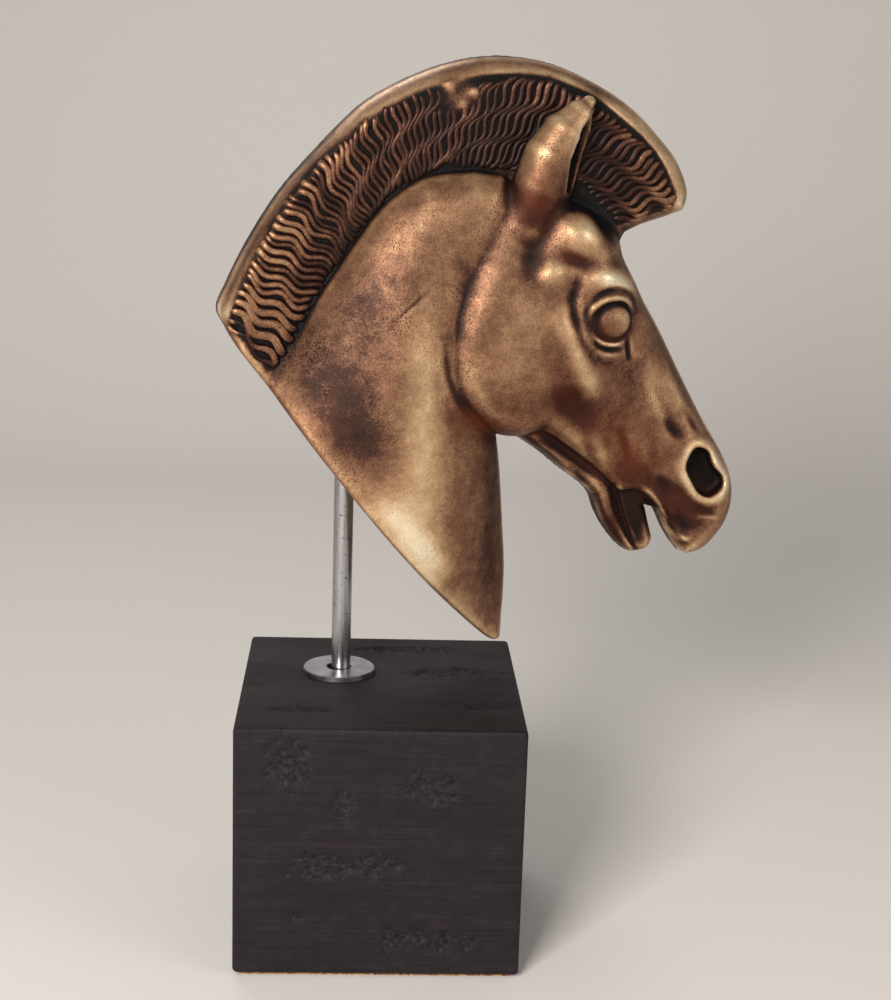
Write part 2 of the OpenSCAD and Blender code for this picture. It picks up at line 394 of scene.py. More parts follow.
# %% Half thickness of each body
mane_half = spot_map([(-55, 315, 20), (-30, 350, 19), (0, 395, 18), (40, 420, 18), (80, 425, 18),
                      (120, 405, 17), (150, 385, 15), (165, 380, 12), (140, 370, 15)])
neck_half = spot_map([(28, 300, 42), (0, 300, 38.5), (-25, 295, 31), (-40, 290, 27),
                      (10, 340, 36.5), (28, 340, 38), (45, 330, 35), (44, 300, 37), (50, 365, 32),
                      (30, 372, 31), (25, 262, 42.5), (50, 262, 37), (62, 235, 33), (66, 200, 28),
                      (40, 225, 40), (8, 258, 41), (-18, 270, 36), (0, 240, 40), (45, 190, 36),
                      (60, 170, 27), (72, 150, 18), (75, 370, 29), (20, 215, 41)])
skull_half = spot_map([(75, 308, 39), (58, 300, 38), (62, 330, 37.5), (76, 280, 37), (96, 292, 36),
                       (90, 322, 37.5), (72, 345, 34.5), (85, 360, 31), (78, 375, 29),
                       (100, 372, 28), (110, 362, 29), (95, 343, 33), (104, 330, 34),
                       (122, 338, 32.5), (138, 334, 27), (130, 319, 31), (128, 300, 30),
                       (112, 298, 34.5), (120, 285, 31.5), (108, 275, 28), (100, 262, 27),
                       (145, 310, 23), (150, 285, 22.5), (140, 270, 24), (125, 255, 22),
                       (165, 270, 17.5), (160, 250, 20.5), (145, 245, 19.5), (182, 240, 20),
                       (170, 235, 19.5), (160, 232, 17.5), (147, 231, 16.5), (134, 238, 17),
                       (175, 215, 15.5), (190, 215, 15.5), (195, 235, 16), (185, 200, 13),
                       (185, 255, 15)])
jaw_half = spot_map([(85, 262, 22), (100, 253, 18), (115, 243, 16), (125, 232, 15.5),
                     (135, 215, 15.5), (145, 203, 14), (152, 196, 12)])
neck_rounding = spot_map([(-40, 290, 34), (-10, 345, 32), (30, 385, 26), (75, 385, 16),
                          (80, 240, 34), (82, 180, 44), (80, 150, 34), (30, 280, 48), (0, 200, 50)])
skull_rounding = spot_map([(140, 350, 18), (150, 325, 20), (165, 295, 17), (180, 270, 13),
                           (195, 250, 12), (204, 225, 14), (195, 200, 12), (184, 192, 9),
                           (170, 208, 5), (152, 228, 5), (130, 238, 7), (108, 254, 10),
                           (80, 258, 13), (55, 272, 10), (45, 300, 12), (50, 335, 16),
                           (62, 365, 18), (90, 383, 14), (125, 370, 14), (100, 310, 24)])
CREST_ROUNDING, JAW_ROUNDING, LIP_HALF, LIP_ROUNDING = 9.0, 8.0, 10.0, 5.0

mane = pillow(mane_outline, mane_half, CREST_ROUNDING)
neck = pillow(neck_outline, neck_half, neck_rounding, 2.2)
skull = pillow(head_outline, skull_half, skull_rounding, 2.3)
jaw = pillow(jaw_outline, jaw_half, JAW_ROUNDING)
lips = np.maximum(pillow(np.array(UPPER_LIP_INNER), LIP_HALF, LIP_ROUNDING),
                  pillow(np.array(LOWER_LIP_INNER), LIP_HALF, LIP_ROUNDING))
lips = np.maximum(lips, pillow(np.array(MOUTH_FLOOR), LIP_HALF, LIP_ROUNDING))
half = blend_max(neck, mane, 2.5)
half = blend_max(half, skull, 5.0)
half = blend_max(half, jaw, 2.0)
half = blend_max(half, lips, 1.6)
print("widest place", round(2 * float(half.max()), 1), "mm")

# %% [markdown]
# ## Folds, bones and lids
# A stroke is a raised or cut line with soft sides and ends that fade, like the mark of a loop
# tool in clay. A bump is an oval swelling. Their heights and widths are in millimetres and are
# pushed along the surface's own direction, so they don't stretch where the surface turns away.

# %% Strokes on the map
def stroke(points, height, width, fade=0.25):
    near, along = line_distance(curve(points), reach=3 * width)
    end = np.clip(np.minimum(along, 1 - along) / fade, 0, 1)
    return height * end * end * (3 - 2 * end) * np.exp(-(near / width) ** 2)


def bump(centre, radii, height, turn=0.0):
    c, s = math.cos(math.radians(turn)), math.sin(math.radians(turn))
    u, v = BOARD_U - centre[0], BOARD_V - centre[1]
    return height * np.exp(-((u * c + v * s) / radii[0]) ** 2 - ((v * c - u * s) / radii[1]) ** 2)


BONES = [
    stroke([(95, 331), (101, 321), (108, 308), (114, 296), (119, 287), (126, 279)], 2.6, 7.0),
    stroke([(104, 292), (108, 280), (116, 271), (130, 267)], -2.8, 8.0, 0.4),
    bump((111, 361), (12, 9.5), 4.4, -20),
    bump((96, 343), (8.5, 7.5), 3.6, 30),
    stroke([(98, 377), (90, 364), (86, 351), (84, 332)], -2.2, 7.5, 0.4),
    stroke([(95, 354), (104, 350.5), (112, 347.5), (124, 346)], -1.8, 4.2, 0.45),
    stroke([(107, 344), (108.5, 336), (105, 325)], -1.4, 3.8, 0.45),
    stroke([(97, 371), (106, 375.5), (116, 373), (123, 364), (129, 352)], -2.0, 4.2, 0.35),
    stroke([(147, 299), (151, 286), (157, 273), (163, 262), (169, 250)], 1.0, 3.8, 0.45),
    stroke([(158, 303), (163, 290), (169, 279), (175, 268), (181, 256)], 0.8, 3.0, 0.45),
    stroke([(92, 257), (103, 250), (110, 244), (116, 238), (122, 232)], 0.8, 1.7),
    stroke([(92, 262), (103, 255), (114, 247.5), (125, 239), (134, 231)], -1.4, 2.2, 0.35),
    stroke([(122, 266), (129, 252), (136, 238)], 0.7, 3.4, 0.45),
    stroke([(116, 262), (124, 249), (131, 240)], -0.7, 2.6, 0.45),
    stroke([(134, 268), (141, 254), (146, 238)], -0.8, 2.6, 0.45),
    stroke([(147, 262), (152, 248), (156, 236)], 0.6, 3.6, 0.45),
    bump((140, 285), (9, 14), -1.2, 25),
]
EYE_FOLDS = [
    stroke([(112, 334), (121, 340), (130, 339), (139, 333), (145, 322)], 2.4, 5.0, 0.35),
    bump((128.5, 318.5), (13.5, 11), -3.4),
    stroke([(114, 319), (119, 326.5), (127, 330), (136, 328.5), (142, 320)], 1.9, 1.8, 0.25),
    stroke([(116, 327), (121, 332.5), (130, 335), (138.5, 332), (143, 325)], -0.9, 1.6, 0.3),
    stroke([(116.5, 316), (120, 310.5), (126, 307.6), (133, 307.4), (139, 310)], 1.4, 1.5, 0.3),
    stroke([(113, 325), (116, 311.5), (123, 303.5), (131, 301.5), (139, 303)], 0.8, 2.6, 0.35),
    stroke([(117, 314), (121.5, 307), (128, 304.4), (136, 304)], -0.8, 1.4, 0.35),
    stroke([(112, 335), (111, 323), (114, 311), (121, 300)], 0.8, 2.2, 0.4),
    stroke([(107, 336), (107, 324), (111, 312)], -0.8, 2.4, 0.45),
    stroke([(137, 312), (138.2, 305), (140, 296)], -1.1, 1.3, 0.4),
]
MUZZLE_FOLDS = [
    stroke([(160, 270), (166, 262), (174, 255)], -1.0, 2.8, 0.45),
    stroke([(170, 276), (177, 265), (185, 255)], -0.7, 2.0, 0.45),
    stroke([(160, 239), (170, 231), (180, 222.5), (189, 218), (199, 220)], -1.6, 4.4, 0.35),
    stroke([(150, 231.5), (156, 228.5), (161, 222.5), (165, 216), (169, 209.5), (173, 204.5),
            (178, 202), (183, 204)], 1.2, 1.9, 0.15),
    stroke([(157, 240), (164, 232), (169, 224)], -1.1, 2.8, 0.45),
    stroke([(170, 218), (175, 211.5), (180, 206)], -1.2, 2.0, 0.45),
    stroke([(179, 215), (188, 214.5), (197, 213)], 0.6, 1.4, 0.45),
    stroke([(139, 236), (141, 229.5), (143.5, 222), (146.5, 213), (150, 205), (153, 199)], 0.9, 1.5, 0.2),
    stroke([(132, 229), (134, 218), (139, 208)], 0.6, 2.2, 0.45),
    stroke([(137, 232), (139, 221), (143, 209)], -0.6, 1.8, 0.45),
]
CREST_LINE = [(-61, 315), (-57, 326), (-50, 342), (-38, 362), (-25, 381), (-8, 401), (8, 414),
              (28, 425), (50, 433), (75, 436.5), (98, 434.5), (120, 425), (137, 412), (150, 400),
              (158, 388), (161, 378)]
NECK_FOLDS = [
    stroke([(48, 326), (45, 310), (45.5, 296), (49, 285), (55, 276), (62, 269), (72, 262)], -1.0, 2.4, 0.4),
    stroke(MANE_ROOT[1:], -0.7, 1.6, 0.06),
    stroke([(16, 317), (27, 327), (38, 337)], -0.4, 0.8, 0.4),
    stroke([(42, 356), (54, 342), (51, 326)], -0.7, 5.0, 0.45),
    stroke([(6, 225), (14, 262), (20, 290), (27, 318), (38, 342), (52, 360)], 1.4, 9.0, 0.4),
    stroke(CREST_LINE, 0.6, 2.2, 0.03),
    bump((51, 425), (12, 8), 1.5, 15),
    bump((45, 429), (3.6, 3.0), 0.9),
    bump((52, 421), (3.4, 3.0), 0.7),
    bump((57, 427), (3.6, 2.6), 0.8),
]
NOSTRIL = [(175, 243), (177, 248), (180, 251), (184, 250.5), (187, 248), (188.5, 244), (191, 240),
           (195, 236), (196, 232), (194, 229), (190, 226.5), (186.5, 226.5), (182.5, 229),
           (179, 234), (176, 239)]
nostril_line = curve(NOSTRIL, 3, closed=True)
nostril_near, _ = line_distance(nostril_line, reach=9)
nostril_depth = np.where(inside(nostril_line), nostril_near, -nostril_near)
relief = np.sum(BONES + EYE_FOLDS + MUZZLE_FOLDS + NECK_FOLDS, axis=0)
relief += 0.8 * np.exp(-((nostril_depth + 3.2) / 2.8) ** 2)
print("deepest stroke", round(float(relief.min()), 1), "mm, highest", round(float(relief.max()), 1), "mm")

# %% [markdown]
# ## From the map to a solid
# The map becomes a solid as a distance field: a block of space in which every point holds its
# distance to the surface, less than nothing inside. In a field, bodies merge with a soft fillet
# and are hollowed out by taking one number from another, which no mesh boolean does so cleanly.
# The ears, eyes and nostrils are added here because they stand out from the relief. The cut end
# of the neck gets a small rounded edge, and behind it the casting is a shell 5 mm thick.

# %% The distance field
OUTWARD = np.arange(0, 48, CELL, dtype=np.float32)
SHELL, CUT_EDGE, HOLLOW_DEPTH = 5.0, 2.5, 55.0
EAR_BACK = [(84, 20, 366), (90, 23, 384), (93.5, 25, 398), (100, 25, 409), (107.5, 24.5, 418),
            (112.5, 24, 424)]
EAR_FRONT = [(94, 17, 370), (99, 18, 386), (103, 19.5, 400), (108, 21, 411), (112.5, 22.5, 421)]
EAR_CUP = [(97, 20, 384), (98, 21.5, 397), (103.5, 22.5, 409), (110.5, 23, 418), (115, 23, 424)]


def blend_min(a, b, radius):
    return -blend_max(-a, -b, radius)


def round_chain(places, radii, u, s, v):
    """Distance to a chain of balls joined by cones."""
    best = np.full(np.broadcast(u, s, v).shape, 1e3, np.float32)
    for a, b, ra, rb in zip(places[:-1], places[1:], radii[:-1], radii[1:]):
        step = np.subtract(b, a)
        t = ((u - a[0]) * step[0] + (s - a[1]) * step[1] + (v - a[2]) * step[2]) / (step @ step)
        t = np.clip(t, 0, 1)
        gap = [axis - start - t * move for axis, start, move in zip((u, s, v), a, step)]
        away = np.sqrt(gap[0] ** 2 + gap[1] ** 2 + gap[2] ** 2)
        best = np.minimum(best, away - ra - t * (rb - ra))
    return best


def part_of_space(low, high):
    """The slices and coordinates of a box in the block of space: forward, outward, up."""
    slices, axes = [], []
    for axis, start, end in zip((FORWARD, OUTWARD, HEIGHT), low, high):
        first, last = np.searchsorted(axis, [start, end])
        slices.append(slice(first, last))
        axes.append(axis[first:last])
    u, s, v = np.meshgrid(*axes, indexing="ij")
    return tuple(slices), u, s, v


def carve_ear(field):
    """A leaf-shaped cup that leans forward and opens forward and a little outward."""
    where, u, s, v = part_of_space((58, 0, 350), (135, 46, 440))
    back = round_chain(EAR_BACK, [12, 12.5, 12, 10.2, 7.2, 3.2], u, s, v)
    front = round_chain(EAR_FRONT, [10, 9.5, 8.5, 7.0, 3.6], u, s, v)
    ear = blend_min(back, front, 4)
    opening = math.radians(26)
    towards = (math.cos(opening), math.sin(opening))
    cup = np.full(u.shape, 1e3, np.float32)
    for share in np.linspace(0, 1, 8):
        du, ds = 30 * share * towards[0], 30 * share * towards[1]
        scoop = round_chain(EAR_CUP, [3.5, 6.6, 6.2, 4.0, 1.6], u - du, s - ds, v)
        cup = np.minimum(cup, scoop)
    ear = blend_max(ear, -cup, 1.0)
    field[where] = blend_min(field[where], ear, 3.5)


def carve_eye(field):
    where, u, s, v = part_of_space((108, 0, 298), (152, 46, 342))
    ball = np.sqrt(((u - 127) / 1.7) ** 2 + (s - 25.5) ** 2 + ((v - 318.5) / 1.5) ** 2) - 6.7
    field[where] = blend_min(field[where], ball, 0.3)


def carve_nostril(field):
    where, u, s, v = part_of_space((165, 0, 215), (206, 46, 262))
    hole = np.broadcast_to(nostril_depth[where[0], None, where[2]] + 0.7, u.shape)
    hole = blend_max(-hole, 6.5 + 0.1 * (195 - u) - s, 4)
    field[where] = blend_max(field[where], -hole, 1.6)


def head_space():
    rise_u, rise_v = np.gradient(half, CELL)
    slope = np.sqrt(1 + np.minimum(rise_u ** 2 + rise_v ** 2, 36))
    field = (OUTWARD[None, :, None] - half[:, None, :]) / slope[:, None, :] - relief[:, None, :]
    carve_ear(field)
    carve_eye(field)
    carve_nostril(field)
    return field.astype(np.float32)


cut_outline = np.vstack([curve(CUT, 3), [(120, 150), (120, 60), (-120, 60), (-120, 352)]])
cut_map = depth_in(cut_outline).astype(np.float32)
beyond_cut = cut_map[:, None, :]
solid = head_space()
axis_distance = np.hypot(FORWARD[:, None, None], OUTWARD[None, :, None])
hollow = np.maximum(solid + SHELL, -beyond_cut - HOLLOW_DEPTH)
outer_skin = blend_max(solid, beyond_cut, CUT_EDGE)
casting = np.maximum(outer_skin, -hollow)
print("space", solid.shape, "points on each side")

# %% [markdown]
# ## From the field to a mesh
# OpenVDB comes with Blender and draws the surface where the field is zero, with evenly sized
# faces and no torn spots. The half space is mirrored first, so the seam down the middle of the
# face is closed. Decimate then removes faces where the surface is calm and keeps them at folds.

# %% Field to mesh
swivel = next(joint for joint in frame["joints"] if joint["name"] == "head_swivel")
ROD_AXIS = Vector((swivel["pos_m"][0], swivel["pos_m"][1], 0))
HEAD_TURN = math.radians(7)
board_foot = ROD_AXIS + Vector((0, 0, BLOCK_FOOT * MM))
board_to_world = Matrix.Translation(board_foot) @ Matrix.Rotation(HEAD_TURN, 4, "Z")
MOST_TRIANGLES = 190_000


def mesh_from_field(name, field, most=MOST_TRIANGLES):
    both = np.concatenate([field[:, :0:-1, :], field], axis=1)
    grid = openvdb.FloatGrid(3.0)
    grid.copyFromArray(np.clip(both, -3, 3))
    points, triangles, quads = grid.convertToPolygons(isovalue=0.0, adaptivity=0.02)
    origin = np.array([FORWARD[0], -OUTWARD[-1], HEIGHT[0]])
    points = (points * CELL + origin) * MM
    mesh = bpy.data.meshes.new(name)
    mesh.from_pydata(points.tolist(), [], [*triangles.tolist(), *quads.tolist()])
    work = bmesh.new()
    work.from_mesh(mesh)
    bmesh.ops.recalc_face_normals(work, faces=work.faces)
    bmesh.ops.triangulate(work, faces=work.faces)
    work.to_mesh(mesh)
    work.free()
    piece = put_in_scene(name, mesh)
    if len(mesh.polygons) > most:
        thin = piece.modifiers.new("thin", "DECIMATE")
        thin.ratio = most / len(mesh.polygons)
        bake_modifiers(piece)
    piece.data.transform(board_to_world)
    piece.data.shade_smooth()
    return piece


def bake_modifiers(piece):
    """Turns an object's modifiers into a plain mesh."""
    evaluated = piece.evaluated_get(bpy.context.evaluated_depsgraph_get())
    mesh = bpy.data.meshes.new_from_object(evaluated)
    piece.modifiers.clear()
    piece.data = mesh


head = mesh_from_field("horse_head", casting)
print("head:", len(head.data.polygons), "triangles")

# %% [markdown]
# ## Where the patina was rubbed away
# A foundry darkens the whole bronze and then rubs it, so the metal shines on every ridge and
# stays black in every groove. A blurred copy of the distance field, read at the surface, tells
# which is which: it is positive on a ridge and negative in a groove. Two blurs, a narrow and a
# wide one, are stored on the mesh as attributes for the material to read.

# %% Ridge and hollow attributes
def blurred(field, reach):
    """A box blur over a few cells each way, mirrored at the middle plane."""
    cells = max(1, round(reach / CELL))
    both = np.concatenate([field[:, cells:0:-1, :], field], axis=1)
    for axis, front in ((0, cells), (1, 0), (2, cells)):
        pad = [(0, 0)] * 3
        pad[axis] = (front, cells)
        total = np.cumsum(np.pad(both, pad, mode="edge"), axis=axis, dtype=np.float64)
        total = np.concatenate([np.zeros_like(np.take(total, [0], axis)), total], axis)
        size = total.shape[axis]
        width = 2 * cells + 1
        late = np.take(total, range(width, size), axis)
        early = np.take(total, range(0, size - width), axis)
        both = ((late - early) / width).astype(np.float32)
    return both


def vertex_places(mesh):
    places = np.empty(len(mesh.vertices) * 3)
    mesh.vertices.foreach_get("co", places)
    return places.reshape(-1, 3)


def board_places(piece):
    """Each vertex in board millimetres: forward, sideways, up."""
    back = np.array(board_to_world.inverted())
    return (vertex_places(piece.data) @ back[:3, :3].T + back[:3, 3]) / MM


def read_map(values, places):
    """Reads a board map, or a field of half the space, at board places."""
    axes = [(places[:, 0] - FORWARD[0]) / CELL, (places[:, 2] - HEIGHT[0]) / CELL]
    if values.ndim == 3:
        axes.insert(1, np.abs(places[:, 1]) / CELL)
    whole = [np.clip(a.astype(int), 0, n - 2) for a, n in zip(axes, values.shape)]
    part = [np.clip(a - w, 0, 1) for a, w in zip(axes, whole)]
    result = 0
    for corner in np.ndindex(*(2,) * values.ndim):
        share = np.prod([p if c else 1 - p for c, p in zip(corner, part)], axis=0)
        result = result + share * values[tuple(w + c for w, c in zip(whole, corner))]
    return result


def store(piece, name, values):
    attribute = piece.data.attributes.new(name, "FLOAT", "POINT")
    attribute.data.foreach_set("value", np.asarray(values, np.float32))


# Near the middle plane the field is not a true distance, so both measures fade out there.
FINE_BLUR, WIDE_BLUR, CREST_FADE = 2.4, 8.0, 8.0
places = board_places(head)
at_skin = read_map(outer_skin, places)
ridge = read_map(blurred(outer_skin, FINE_BLUR), places) - at_skin
swell = read_map(blurred(outer_skin, WIDE_BLUR), places) - at_skin
flank = np.clip(np.abs(places[:, 1]) / CREST_FADE, 0, 1)
store(head, "ridge", flank * ridge / 0.35)
store(head, "swell", flank * swell / 2.0)
for name, values in (("ridge", ridge), ("swell", swell)):
    print(name, "in mm, low, middle, high:", np.percentile(values, [1, 50, 99]).round(2))

# %% [markdown]
# ## The painter's glaze and painted light
# Rubbing alone leaves every hollow alike. On this casting the glaze was also brushed by hand:
# nearly black round the ear, the temple and the mouth and on the bed of the hair, brown on the
# outer crown of the mane, and rust-red in the warm folds. Light and shade are painted into the
# same maps too: a painted highlight down the middle of the neck and near its cut, painted shade
# where the neck turns away, along the jaw, under it and inside the nostril, a painted shadow of
# the ear on the mane, and a painted reddish reflection under the cheek and face, mixed into the
# rust-red. Two more maps hold all this, one for dark and light and one for the red.

# %% Glaze and painted light maps
GUIDES = [
    [(-40, 291), (-49, 302), (-59, 313)],
    [(-35, 298), (-47, 307), (-59.5, 320)],
    [(-28, 309), (-43, 315), (-57, 327)],
    [(-21, 322), (-37, 327), (-53, 337)],
    [(-14, 333), (-30, 338), (-47, 349)],
    [(-8, 343), (-22, 350), (-40, 362)],
    [(-2, 352), (-14, 362), (-31, 376)],
    [(3, 359), (-7, 373), (-20, 390)],
    [(8, 366), (1, 382), (-8, 402)],
    [(14, 373), (11, 390), (3, 412)],
    [(20, 379), (19, 396), (16, 420)],
    [(26, 383), (27, 401), (30, 427)],
    [(33, 387.5), (37, 405), (45, 432.5)],
    [(42, 391), (49, 408), (61, 435.5)],
    [(52, 392), (63, 408), (79, 437)],
    [(62, 392), (75, 407), (94, 436)],
    [(72, 391), (86, 404), (107, 431)],
    [(82, 390), (99, 402), (120, 424.5)],
    [(92, 390), (111, 401), (132, 416)],
    [(102, 388), (122, 396), (142, 408.5)],
    [(110, 385), (130, 389), (150, 401)],
    [(117, 380), (136, 382), (156, 392)],
    [(123, 375), (141, 376), (160, 384)],
    [(128, 370), (145, 371), (162, 377.5)],
    [(132, 365), (147, 368), (158, 373)],
]
mane_bed = np.array([guide[0] for guide in GUIDES] + [guide[2] for guide in GUIDES[::-1]], float)
WORN_PLACE = bump((51, 425), (14, 10), 1.0, 15)
bed = np.clip(0.5 + depth_in(mane_bed) / 2.0, 0, 1) * np.clip(1.25 - 1.6 * WORN_PLACE, 0, 1)
crest_near, _ = line_distance(curve(CREST, 4), reach=14)
SLAB_TONES = [
    -0.70 * bed,
    -0.10 * np.clip((2.6 - crest_near) / 2.0, 0, 1),
    0.16 * np.exp(-((crest_near - 4.6) / 2.6) ** 2),
    stroke([(-60, 318), (-42, 366), (-4, 412)], -0.10, 3.0, 0.2),
    bump((150, 405), (30, 26), 0.12) * (crest_near < 8),
    -0.26 * WORN_PLACE,
]
TONES = [
    # painted highlight down the middle of the neck, where it faces the light
    stroke([(48, 345), (40, 315), (35, 285), (33, 250), (36, 222), (46, 198)], 0.28, 11, 0.3),
    bump((22, 335), (16, 18), -0.10, 40),
    # painted highlight on the lower neck near the cut
    stroke([(6, 240), (22, 222), (38, 202), (52, 184)], 0.42, 8, 0.3),
    # painted shade on the rear of the neck, where it turns away from the light, partly darker glaze
    bump((4, 322), (12, 20), -0.16, 30),
    stroke([(6, 345), (22, 366), (40, 380), (60, 384)], -0.05, 6, 0.3),
    # more painted shade on the rear of the neck, partly darker glaze
    bump((-12, 290), (17, 34), -0.22, 30),
    bump((2, 262), (16, 14), -0.14, 20),
    # painted shade along the throat edge, where the neck turns away
    bump((74, 205), (8, 46), -0.16),
    stroke([(44, 330), (40, 305), (43, 282), (54, 268)], -0.18, 5, 0.3),
    stroke([(70, 384), (83, 373), (85, 360)], -0.30, 6, 0.3),
    stroke([(86, 362), (87, 348), (88, 330)], -0.16, 6, 0.4),
    stroke([(97, 374), (106, 378), (116, 375), (124, 366), (131, 352)], -0.40, 4.5, 0.3),
    bump((113, 364), (7, 6), 0.14, -20),
    bump((96, 345), (6, 5), -0.06),
    bump((131, 339), (9, 5), 0.30, -15),
    bump((127, 316), (10, 8), -0.24),
    stroke([(114, 319), (119, 326.5), (127, 330), (136, 328.5), (142, 320)], -0.20, 2.4, 0.2),
    # painted shade inside the nostril
    -0.5 * np.clip(nostril_depth / 1.5 + 0.5, 0, 1),
    -0.20 * np.exp(-((nostril_depth + 0.9) / 1.6) ** 2),
    bump((186, 250), (9, 5), -0.12),
    bump((178, 222), (17, 14), -0.13),
    bump((90, 374), (8, 9), -0.16),
    bump((56, 272), (10, 10), -0.12),
    stroke([(100, 322), (110, 303), (121, 286)], 0.08, 6, 0.35),
    bump((58, 322), (10, 22), -0.12, -15),
    bump((80, 312), (14, 24), 0.08, -15),
    bump((80, 275), (26, 9), -0.10, -8),
    bump((108, 280), (9, 12), -0.18),
    bump((126, 270), (14, 12), -0.20),
    stroke([(112, 336), (110, 322), (113, 309), (121, 300), (131, 297)], -0.20, 3.5, 0.35),
    # painted shade along the jaw's upper edge, under it and on the chin, partly darker glaze
    stroke([(92, 260), (104, 253), (116, 245), (130, 233)], -0.34, 4, 0.3),
    stroke([(84, 260), (98, 251), (112, 241), (126, 230)], -0.30, 5, 0.2),
    bump((141, 211), (16, 21), -0.58),
    bump((153, 219), (8, 8), -0.5),
    bump((150, 244), (14, 12), -0.10),
    stroke([(160, 238), (167, 226), (174, 214), (182, 206)], -0.20, 4.5, 0.3),
    stroke([(158, 274), (165, 264), (175, 256)], -0.14, 4, 0.4),
    bump((142, 292), (8, 14), -0.08, 30),
    bump((176, 212), (14, 10), -0.20),
    stroke([(150, 300), (160, 280), (171, 262)], 0.12, 4, 0.35),
    bump((98, 394), (14, 22), -0.20, -20),
    bump((114, 422), (9, 9), -0.40),
    # painted shade in the far side of the ear's cup and a painted shadow on the mane beside it
    stroke([(104, 376), (109, 391), (113, 404), (116, 416)], -0.40, 3.2, 0.2),
    -0.34 * np.exp(-((cut_map + 0.3) / 2.0) ** 2),
]
# rust-red patina in the folds, mixed with a painted reddish reflection under the cheek, jaw and face
WARMTH = [
    bump((88, 288), (34, 24), 0.22), bump((140, 250), (34, 30), 0.20),
    bump((87, 377), (11, 14), 0.6), bump((62, 268), (16, 6), 0.9, -15), bump((84, 264), (18, 7), 0.6),
    bump((104, 350), (9, 5), 0.45), bump((130, 314), (9, 5), 0.6), bump((107, 284), (14, 12), 0.35),
    bump((134, 258), (14, 16), 0.6), bump((150, 246), (12, 10), 0.5), bump((175, 222), (16, 10), 0.4),
    bump((138, 205), (8, 12), 0.4), bump((-14, 262), (24, 12), 0.15, -50), bump((80, 190), (6, 60), 0.4),
    0.6 * np.exp(-((cut_map + 0.3) / 2.0) ** 2),
]
on_slab = np.clip((read_map(mane_half, places) + 2.5 - np.abs(places[:, 1])) / 1.5, 0, 1)
# tone carries the glaze and also the painted highlight, shade and shadow
tone = read_map(np.sum(TONES, axis=0), places)
tone = tone + on_slab * read_map(np.sum(SLAB_TONES, axis=0), places)
store(head, "tone", tone)
store(head, "warmth", np.clip(read_map(np.sum(WARMTH, axis=0), places), 0, 1))
print("tone", tone.min().round(2), "to", tone.max().round(2))

# %% [markdown]
# ## The plug in the neck
# Below the cut, the shell is closed with poured resin that grips the steel sleeve. The same
# field gives the plug its shape: it is what is left inside the shell, a hair smaller, between
# two slanted planes, with a bore for the sleeve.

# %% The plug
PLUG_GAP, PLUG_INSET, PLUG_DEPTH, SLEEVE_GAP = 0.3, 3.0, 37.0, 0.05
sleeve_low, sleeve_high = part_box("socket_tube")
sleeve_radius = (sleeve_high.x - sleeve_low.x) / 2 / MM
plug_ends = np.maximum(beyond_cut + PLUG_INSET, -beyond_cut - PLUG_DEPTH)
plug_field = np.maximum(solid + SHELL + PLUG_GAP, plug_ends)
plug_field = np.maximum(plug_field, sleeve_radius + SLEEVE_GAP - axis_distance)
plug = mesh_from_field("resin_plug", plug_field, most=40_000)
print("plug:", len(plug.data.polygons), "triangles, sleeve", round(2 * sleeve_radius, 1), "mm")

# %% [markdown]
# ## The mane
# The hair is cut as about eighty wavy ridges on each side, that run from the neck to the crest.
# Modelling each by hand would take days, and a bump pattern would not catch light on its edge.
# So only the flow is drawn: a few guides say where a lock starts, where it bends and where it
# ends. Between the guides the rest are worked out, each as wide as the gap to its neighbours, and
# Geometry Nodes turn each into a tapered, waving ridge.

# %% The flow of the hair
LOCK_PITCH, POINTS_PER_LOCK, PHASE_DRIFT, STRAY, GUIDE_RUN = 3.9, 44, 1.25, 0.34, 50
WORN_FROM, WORN_TO, WORN_KEEP = 43, 60, 0.72


def flow_at(t):
    """Start, bend and end of the lock at place t along the guides."""
    k = min(int(t), len(GUIDES) - 2)
    four = (max(k - 1, 0), k, k + 1, min(k + 2, len(GUIDES) - 1))
    return between(*(np.array(GUIDES[i]) for i in four), t - k)


def evenly_spaced(pitch):
    """Places along the guides whose ends lie one pitch apart on the crest."""
    fine = np.linspace(0, len(GUIDES) - 1, 2000)
    ends = np.array([flow_at(t)[2] for t in fine])
    run = np.concatenate([[0], np.cumsum(np.hypot(*np.diff(ends, axis=0).T))])
    return np.interp(np.arange(0.5 * pitch, run[-1], pitch), run, fine)


